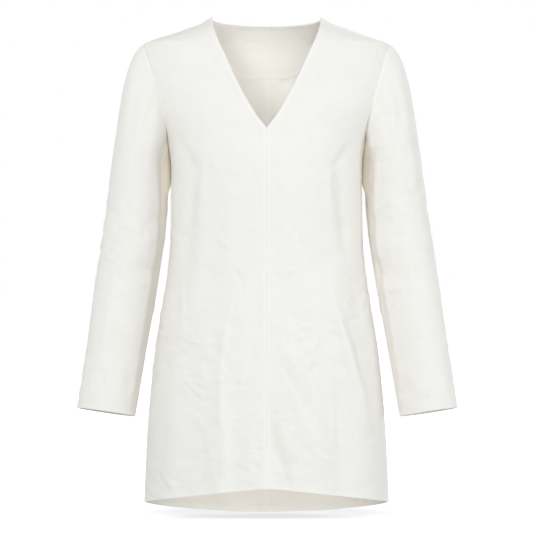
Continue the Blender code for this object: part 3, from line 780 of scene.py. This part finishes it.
# Sleeve creases: routes over (turn from the crown towards the front, height), lift and spread
BOTH_SLEEVES_CREASES = (
    (INNER_EDGE, 0.0014, 0.0042),
    (INNER_HOLLOW, -0.0024, 0.0085),
    (((1.95, -0.125), (2.02, -0.200), (1.95, -0.280)), 0.0013, 0.0065),
    (((-1.90, -0.130), (-2.05, -0.230)), 0.0011, 0.0070),
    (((-2.30, -0.180), (-2.80, -0.210)), -0.0010, 0.0046),
)
RIGHT_SLEEVE_CREASES = (
    (((1.02, -0.072), (1.06, -0.130), (1.16, -0.210)), -0.0017, 0.0075),
    (((1.40, -0.090), (1.44, -0.160), (1.50, -0.240)), 0.0013, 0.0080),
    (((0.75, -0.296), (1.15, -0.298), (1.75, -0.297)), -0.0007, 0.0020),
    (((0.80, -0.302), (1.45, -0.303)), 0.0004, 0.0026),
    (((0.70, -0.384), (1.05, -0.392), (1.55, -0.410)), 0.0008, 0.0028),
    (((0.75, -0.394), (1.20, -0.406)), -0.0006, 0.0028),
    (((2.05, -0.336), (2.65, -0.352)), 0.0014, 0.0036),
    (((2.05, -0.344), (2.70, -0.362)), -0.0012, 0.0034),
    (((2.00, -0.426), (2.60, -0.440)), 0.0013, 0.0036),
    (((2.05, -0.434), (2.55, -0.448)), -0.0010, 0.0034),
    (((1.10, -0.512), (1.90, -0.514)), -0.0006, 0.0022),
    (((1.62, -0.135), (1.70, -0.210)), -0.0011, 0.0055),
    (((2.35, -0.172), (2.80, -0.206)), -0.0011, 0.0044),
    (((2.25, -0.160), (2.75, -0.190)), 0.0010, 0.0042),
    (((1.30, -0.565), (1.60, -0.600)), 0.0008, 0.0044),
    (((0.30, -0.430), (0.75, -0.444)), 0.0006, 0.0036),
    (((1.10, -0.430), (1.16, -0.500), (1.10, -0.560)), 0.0008, 0.0055),
    (((-0.90, -0.330), (-1.60, -0.344)), 0.0010, 0.0036),
    (((-0.95, -0.345), (-1.60, -0.357)), -0.0009, 0.0034),
    (((-1.10, -0.400), (-1.80, -0.420)), 0.0011, 0.0040),
    (((-1.20, -0.470), (-1.70, -0.486)), 0.0009, 0.0040),
)
LEFT_SLEEVE_CREASES = (
    (((1.06, -0.080), (1.10, -0.140), (1.14, -0.200)), -0.0015, 0.0075),
    (((1.44, -0.090), (1.46, -0.160), (1.50, -0.230)), 0.0012, 0.0080),
    (((0.60, -0.356), (1.30, -0.354), (2.20, -0.358)), -0.0007, 0.0022),
    (((0.70, -0.362), (1.90, -0.363)), 0.0004, 0.0028),
    (((0.80, -0.512), (1.20, -0.518), (1.75, -0.520)), -0.0007, 0.0024),
    (((1.00, -0.520), (1.70, -0.528)), 0.0005, 0.0028),
    (((1.50, -0.385), (1.95, -0.410)), 0.0009, 0.0030),
    (((1.95, -0.432), (2.55, -0.452)), 0.0013, 0.0036),
    (((1.90, -0.442), (2.45, -0.462)), -0.0010, 0.0034),
    (((2.05, -0.302), (2.70, -0.318)), 0.0013, 0.0036),
    (((2.05, -0.312), (2.65, -0.328)), -0.0011, 0.0034),
    (((1.60, -0.140), (1.68, -0.220)), -0.0010, 0.0055),
    (((2.30, -0.168), (2.80, -0.200)), -0.0012, 0.0044),
    (((2.20, -0.156), (2.70, -0.184)), 0.0010, 0.0042),
    (((1.20, -0.575), (1.60, -0.612)), 0.0008, 0.0044),
    (((0.25, -0.262), (0.90, -0.272)), -0.0005, 0.0036),
    (((0.30, -0.440), (0.80, -0.452)), 0.0006, 0.0036),
    (((1.05, -0.420), (1.12, -0.490), (1.05, -0.550)), 0.0008, 0.0055),
    (((-0.85, -0.350), (-1.60, -0.366)), 0.0010, 0.0036),
    (((-1.00, -0.364), (-1.60, -0.378)), -0.0009, 0.0034),
    (((-1.10, -0.425), (-1.80, -0.440)), 0.0011, 0.0040),
    (((-1.20, -0.500), (-1.70, -0.512)), 0.0009, 0.0040),
)


def armhole_ring(turn, hand):
    """The seam where the sleeve leaves the body, and the way out of the body there."""
    in_front = turn >= 0
    share = 1 - np.abs(turn) / math.pi
    ring, away = [], []
    for face in (FRONT, BACK):
        place = armhole_edge(share, face)
        ring.append(form_point(*place, face, hand))
        away.append(form_normal(*place, face, hand))
    pick = in_front[..., None]
    return np.where(pick, ring[0], ring[1]), np.where(pick, away[0], away[1])


def arm_centre(height, hand):
    """The middle of the arm at a height. The right arm hangs a little closer to the body than the left."""
    top, cuff = ARM[0][0], ARM[-1][0]
    closer = RIGHT_ARM_CLOSER * (top - height) / (top - cuff) if hand == RIGHT else 0.0
    return np.stack([hand * (ARM_ACROSS(height) - closer), -ARM_FORWARD(height), height], axis=-1)


def arm_ring(turn, height, hand):
    """A point on the oval of the sleeve, square to the arm, from the crown of the arm round by the front."""
    above = arm_centre(np.minimum(height + 0.004, ARM[0][0]), hand)
    below = arm_centre(np.maximum(height - 0.004, ARM[-1][0]), hand)
    down = unit(below - above)
    sideways, forwards = np.array([float(hand), 0.0, 0.0]), np.array([0.0, -1.0, 0.0])
    width_way = unit(sideways - down * (down @ sideways)[..., None])
    front_way = unit(forwards - down * (down @ forwards)[..., None])
    wide = (np.cos(turn) * ARM_HALF_WIDTH(height))[..., None] * width_way
    deep = (np.sin(turn) * ARM_HALF_DEPTH(height))[..., None] * front_way
    return arm_centre(height, hand) + wide + deep


def sleeve_point(s, t, hand):
    """A point of the sleeve: s round it from the underarm seam, t up it from the cuff to the armhole."""
    start = SEAM_LINE / ARM_ROUND - math.pi
    turn = start - 2 * start * s
    top, cuff = ARM[0][0], ARM[-1][0]
    height = cuff + (top - cuff) * np.clip(t / (1 - CAP_SHARE), 0, 1)
    share = np.clip((1 - t) / CAP_SHARE, 0, 1)[..., None]
    first, away = armhole_ring(turn, hand)
    first = first + CAP_PROUD * away
    upper = arm_ring(turn, 0 * turn + top, hand)
    crown, front = np.cos(turn)[..., None], np.sin(turn)[..., None]
    at_crown, at_underarm = np.array(CAP_AT_CROWN), np.array(CAP_AT_UNDERARM)
    handles = at_underarm + (at_crown - at_underarm) * (1 + crown) / 2
    out, drop, length, lean = (handles[..., k : k + 1] for k in range(len(CAP_COLUMNS)))
    leave = np.concatenate([hand * out, -CAP_FULLNESS * front, -drop], axis=-1)
    arrive = length * np.concatenate([hand * lean, 0 * crown, -1 + 0 * crown], axis=-1)
    cap = (1 - share) ** 3 * first + 3 * (1 - share) ** 2 * share * (first + leave)
    cap = cap + 3 * (1 - share) * share**2 * (upper - arrive) + share**3 * upper
    return np.where((t > 1 - CAP_SHARE)[..., None], cap, arm_ring(turn, height, hand))


def sleeve_surface(hand):
    """The sleeve as points and outward normals."""
    def surface(s, t):
        step = 1e-3
        ahead, behind = np.minimum(s + step, 1), np.maximum(s - step, 0)
        above, below = np.minimum(t + step, 1), np.maximum(t - step, 0)
        round_way = sleeve_point(ahead, t, hand) - sleeve_point(behind, t, hand)
        up_way = sleeve_point(s, above, hand) - sleeve_point(s, below, hand)
        return sleeve_point(s, t, hand), unit(np.cross(up_way, round_way)) * hand

    return surface


def turn_between(turn, other):
    return np.abs((turn - other + math.pi) % (2 * math.pi) - math.pi)


def sleeve_lift(creases, seed):
    """How far a sleeve stands off its form, from its folds, creases, seams and fine crumple."""
    def lift(point, s, t, from_back_seam, from_front_seam, from_cuff, from_armhole):
        turn = math.pi * (2 * s - 1)
        height = point[..., 2]
        total = 0 * turn
        for at_turn, at_height, rise, spread_round, spread_down in SLEEVE_FOLDS:
            total += rise * np.exp(-((turn_between(turn, at_turn) / spread_round) ** 2)
                                   - ((height - at_height) / spread_down) ** 2)
        inside = ease(np.minimum(from_armhole, np.minimum(from_back_seam, from_front_seam)), 0.0015, 0.010)
        routes = [([(a * ARM_ROUND, h) for a, h in route], rise, spread) for route, rise, spread in creases]
        total = total * inside + crease_lift(routes, turn * ARM_ROUND, height) * inside
        for at_turn, rise, spread_round, starts, full, still_full, ends in UNDERARM_FORMS:
            filled = ease(height, starts, full) * (1 - ease(height, still_full, ends))
            total += rise * filled * np.exp(-((turn_between(turn, at_turn) / spread_round) ** 2))
        total += seam_relief(from_back_seam, height, SEAM_ALLOWANCE, seed)
        total += seam_relief(from_front_seam, height, SEAM_ALLOWANCE, seed + 2.3)
        total += seam_relief(from_cuff, turn * ARM_ROUND, CUFF_TURNING, seed + 4.1, 0.6)
        total += seam_relief(from_armhole, turn * ARM_ROUND, SEAM_ALLOWANCE, seed + 5.7, 1.4)
        total += CAP_PUFF * np.exp(-(((from_armhole - 0.005) / 0.005) ** 2))
        total += crumple_lift(turn * ARM_ROUND, height, 0.9 * inside, seed + 7.9)
        return total

    return lift


SLEEVE_COUNTS = (100, 190)

for name, hand, creases, seed in (
    ("sleeve_right", RIGHT, RIGHT_SLEEVE_CREASES, 80.0),
    ("sleeve_left", LEFT, LEFT_SLEEVE_CREASES, 97.0),
):
    turnings = (SEAM_ALLOWANCE, SEAM_ALLOWANCE, CUFF_TURNING, SEAM_ALLOWANCE)
    lift = sleeve_lift(creases + BOTH_SLEEVES_CREASES, seed)
    grid, coordinates, doubled = cloth_grid(sleeve_surface(hand), lift, SLEEVE_COUNTS, turnings)
    sleeve = lay_cloth(f"{name}_linen", grid, coordinates, doubled, hand == LEFT, linen)
    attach(sleeve, "root")
    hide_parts(name)


# The back neck facing.
# A curved piece of the same linen that finishes the back neckline. It is sewn round the neck edge and turned
# to the inside. Its lower edge is turned under and shows through the neck as a faint level line.

FACING_DEPTH = 0.0021
FACING_TURNING = 0.006
FACING_PRESSED = 0.0006
FACING_EASE = 0.0002
FACING_WIDE = 6 / 14
FACING_LOW = 27 / 36
FACING_ROUNDNESS = 0.70
FACING_COUNTS = (120, 34)
facing_linen = linen_material("facing_linen", LINEN_LIGHT, LINEN_SHADE)


def facing_surface(s, t):
    """The facing's place on the backs: s round the neck from right to left, t up from its lower edge."""
    round_neck = np.abs(2 * s - 1)
    far = 1 - t
    angle = QUARTER * round_neck
    edge_s = FACING_WIDE * np.sin(angle) ** FACING_ROUNDNESS
    edge_t = FACING_LOW + (1 - FACING_LOW) * (1 - np.clip(np.cos(angle), 0, 1) ** FACING_ROUNDNESS)
    neck_t = CENTRE_SHARE[BACK] + (1 - CENTRE_SHARE[BACK]) * round_neck
    turn, height = panel_place(far * edge_s, neck_t + far * (edge_t - neck_t), BACK)
    hand = np.where(s < 0.5, RIGHT, LEFT)
    mirror = np.stack([hand, 1 + 0 * hand, 1 + 0 * hand], axis=-1)
    return form_point(turn, height, BACK, hand), form_normal(turn, height, BACK, LEFT) * mirror


def facing_inside(s, t):
    """The same stretch moved to the inside of the backs, facing the wearer."""
    point, away = facing_surface(s, t)
    return point - FACING_DEPTH * away, -away


def facing_lift(point, s, t, from_right, from_left, from_low, from_neck):
    x, z = point[..., 0], point[..., 2]
    pressed = -FACING_PRESSED * (1 - ease(from_low, 0.004, 0.018))
    relief = 0.5 * seam_relief(from_low, x, FACING_TURNING, 120.0, 0.8)
    return pressed + relief + FACING_EASE * rumple(x, z, 0.03, 123.0)


turnings = (SEAM_ALLOWANCE, SEAM_ALLOWANCE, FACING_TURNING, FACING_TURNING)
grid, coordinates, doubled = cloth_grid(facing_inside, facing_lift, FACING_COUNTS, turnings)
facing = lay_cloth("back_neck_facing_linen", grid, coordinates, doubled, False, facing_linen)
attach(facing, "root")
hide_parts("back_neck_facing")


# The studio.
# A white cut-out background: a pale floor that gives most of its own light, so that only a faint shadow
# shows under the hem, helped by a painted shadow where the floor gives less of its own light behind the hem,
# and a white surround. Broad soft lights stand all round, and small lamps light the insides of the neck and
# hem and the hollows under the arms.

FLOOR_HEIGHT = -0.8215
FLOOR_RADIUS = 24.0
SURROUND_RADIUS = 30.0
CAMERA_DISTANCE = 3.2
CAMERA_HEIGHT = -0.4037
HALF_VIEW = 0.43173
FULL_LIGHT = 1.0
# The floor's own light in the middle of the painted shadow behind the hem
PAINTED_SHADOW_GLOW = 0.56
FLOOR_REFLECTS = 0.36


def plain_light_material(name, glow, reflect):
    """A matt grey to white that reflects one share of the light and gives some of its own."""
    material = bpy.data.materials.new(name)
    material.use_nodes = True
    surface = material.node_tree.nodes["Principled BSDF"]
    surface.inputs["Base Color"].default_value = (reflect, reflect, reflect, 1.0)
    surface.inputs["Roughness"].default_value = 1.0
    surface.inputs["Specular IOR Level"].default_value = 0.0
    surface.inputs["Emission Color"].default_value = (glow, glow, glow, 1.0)
    surface.inputs["Emission Strength"].default_value = 1.0
    return material


def paint_hem_shadow(material, middle, reach):
    """A painted shadow: less light of the floor's own round a middle, out to its reach, so that a shadow
    shows under the hem.
    """
    tree = material.node_tree
    start = Shade(tree, None)
    place = start.node("ShaderNodeTexCoord", out=3)
    from_middle = start.node("ShaderNodeVectorMath", {"operation": "SUBTRACT"}, _0=place, _1=middle)
    scaled = start.node("ShaderNodeVectorMath", {"operation": "DIVIDE"}, _0=from_middle, _1=reach)
    away = start.node("ShaderNodeVectorMath", {"operation": "LENGTH"}, out=1, _0=scaled)
    share = start.node("ShaderNodeMapRange", {"interpolation_type": "SMOOTHSTEP"}, Value=away,
                       From_Min=0.55, From_Max=1.6, To_Min=0.0, To_Max=1.0)
    inside, outside = ((glow, glow, glow, 1.0) for glow in (PAINTED_SHADOW_GLOW, FULL_LIGHT))
    # The painted shadow: the floor's own light, dimmed towards the middle
    glow_with_painted_shadow = start.node("ShaderNodeMix", {"data_type": "RGBA"}, out=2, _0=share, _6=inside, _7=outside)
    tree.links.new(glow_with_painted_shadow.socket, tree.nodes["Principled BSDF"].inputs["Emission Color"])


bpy.ops.object.select_all(action="DESELECT")
bpy.ops.mesh.primitive_circle_add(
    vertices=96, radius=FLOOR_RADIUS, fill_type="NGON", location=(0, 0, FLOOR_HEIGHT)
)
floor = bpy.context.object
floor.name = "studio_floor"
bpy.ops.object.transform_apply(location=True, rotation=True, scale=True)
pale_floor = plain_light_material("pale_floor", FULL_LIGHT, FLOOR_REFLECTS)
# A painted shadow behind the hem, where the floor gives less of its own light
paint_hem_shadow(pale_floor, (0.0, 0.16, FLOOR_HEIGHT), (0.24, 0.10, 1.0))
floor.data.materials.append(pale_floor)
floor.visible_diffuse = False

bpy.ops.mesh.primitive_uv_sphere_add(segments=48, ring_count=24, radius=SURROUND_RADIUS)
surround = bpy.context.object
surround.name = "studio_surround"
surround.data.materials.append(plain_light_material("white_surround", FULL_LIGHT, 0.0))
for kind in ("diffuse", "glossy", "transmission", "volume_scatter", "shadow"):
    setattr(surround, f"visible_{kind}", False)

world = bpy.data.worlds.new("even_light")
world.use_nodes = True
background = world.node_tree.nodes["Background"]
background.inputs["Color"].default_value = (0.94, 0.967, 1.0, 1.0)
background.inputs["Strength"].default_value = 0.60
bpy.context.scene.world = world


def soft_light(name, place, aim, size, power, colour):
    """A lamp that the camera doesn't see: its place, what it faces, its width and height, and its watts."""
    light = bpy.data.lights.new(name, "AREA")
    light.shape, light.energy, light.color = "RECTANGLE", power, colour
    light.size, light.size_y = size
    lamp = bpy.data.objects.new(name, light)
    bpy.context.scene.collection.objects.link(lamp)
    lamp.location = place
    lamp.visible_camera = False
    lamp.rotation_euler = (Vector(aim) - Vector(place)).to_track_quat("-Z", "Y").to_euler()


DAYLIGHT, NECK_WHITE = (0.925, 0.960, 1.0), (0.96, 0.98, 1.0)
HEM_WHITE, UNDERARM_GLOW = (1.0, 0.955, 0.86), (1.0, 0.93, 0.78)
MIDDLE = (0.0, 0.0, -0.4)
for name, place, size, power in (
    ("front", (0.0, -4.2, -0.4), 2.4, 43.0),
    ("key", (-1.5, -2.7, 1.4), 0.9, 38.0),
    ("right", (3.2, -1.4, -0.5), 1.8, 43.0),
    ("left", (-3.2, -1.2, -1.4), 1.4, 7.0),
    ("rear", (0.0, 4.2, -0.4), 2.4, 43.0),
    ("rear_left", (-2.2, 3.4, -0.4), 1.8, 20.0),
    ("rear_key", (1.5, 2.7, 1.4), 0.9, 38.0),
):
    soft_light(f"{name}_light", place, MIDDLE, (size, size), power, DAYLIGHT)
soft_light("neck_light", (-0.034, -0.046, -0.122), (-0.06, 0.10, -0.117), (0.14, 0.09), 0.098, NECK_WHITE)
soft_light("hem_light", (0.0, 0.030, -0.800), (0.0, 0.14, -0.765), (0.24, 0.02), 0.060, HEM_WHITE)
for name, hand in (("right", RIGHT), ("left", LEFT)):
    soft_light(f"{name}_armpit_light", (hand * 0.1565, -0.026, -0.262), (hand * 0.1565, 0.05, -0.262),
               (0.003, 0.17), 0.0022, UNDERARM_GLOW)
    soft_light(f"{name}_underarm_light", (hand * 0.1562, 0.004, -0.256), (hand * 0.2062, 0.004, -0.256),
               (0.024, 0.062), 0.0010, UNDERARM_GLOW)
    soft_light(f"{name}_armhole_light", (hand * 0.1590, 0.002, -0.210), (hand * 0.2080, 0.002, -0.220),
               (0.022, 0.030), 0.0006, UNDERARM_GLOW)

view = bpy.data.cameras.new("front_view")
view.sensor_width = 36.0
view.lens = view.sensor_width / (2 * HALF_VIEW / CAMERA_DISTANCE)
camera = bpy.data.objects.new("front_view", view)
bpy.context.scene.collection.objects.link(camera)
camera.location = (0.0, -CAMERA_DISTANCE, CAMERA_HEIGHT)
camera.rotation_euler = (QUARTER, 0.0, 0.0)
bpy.context.scene.camera = camera
bpy.context.scene.view_settings.view_transform = "Standard"
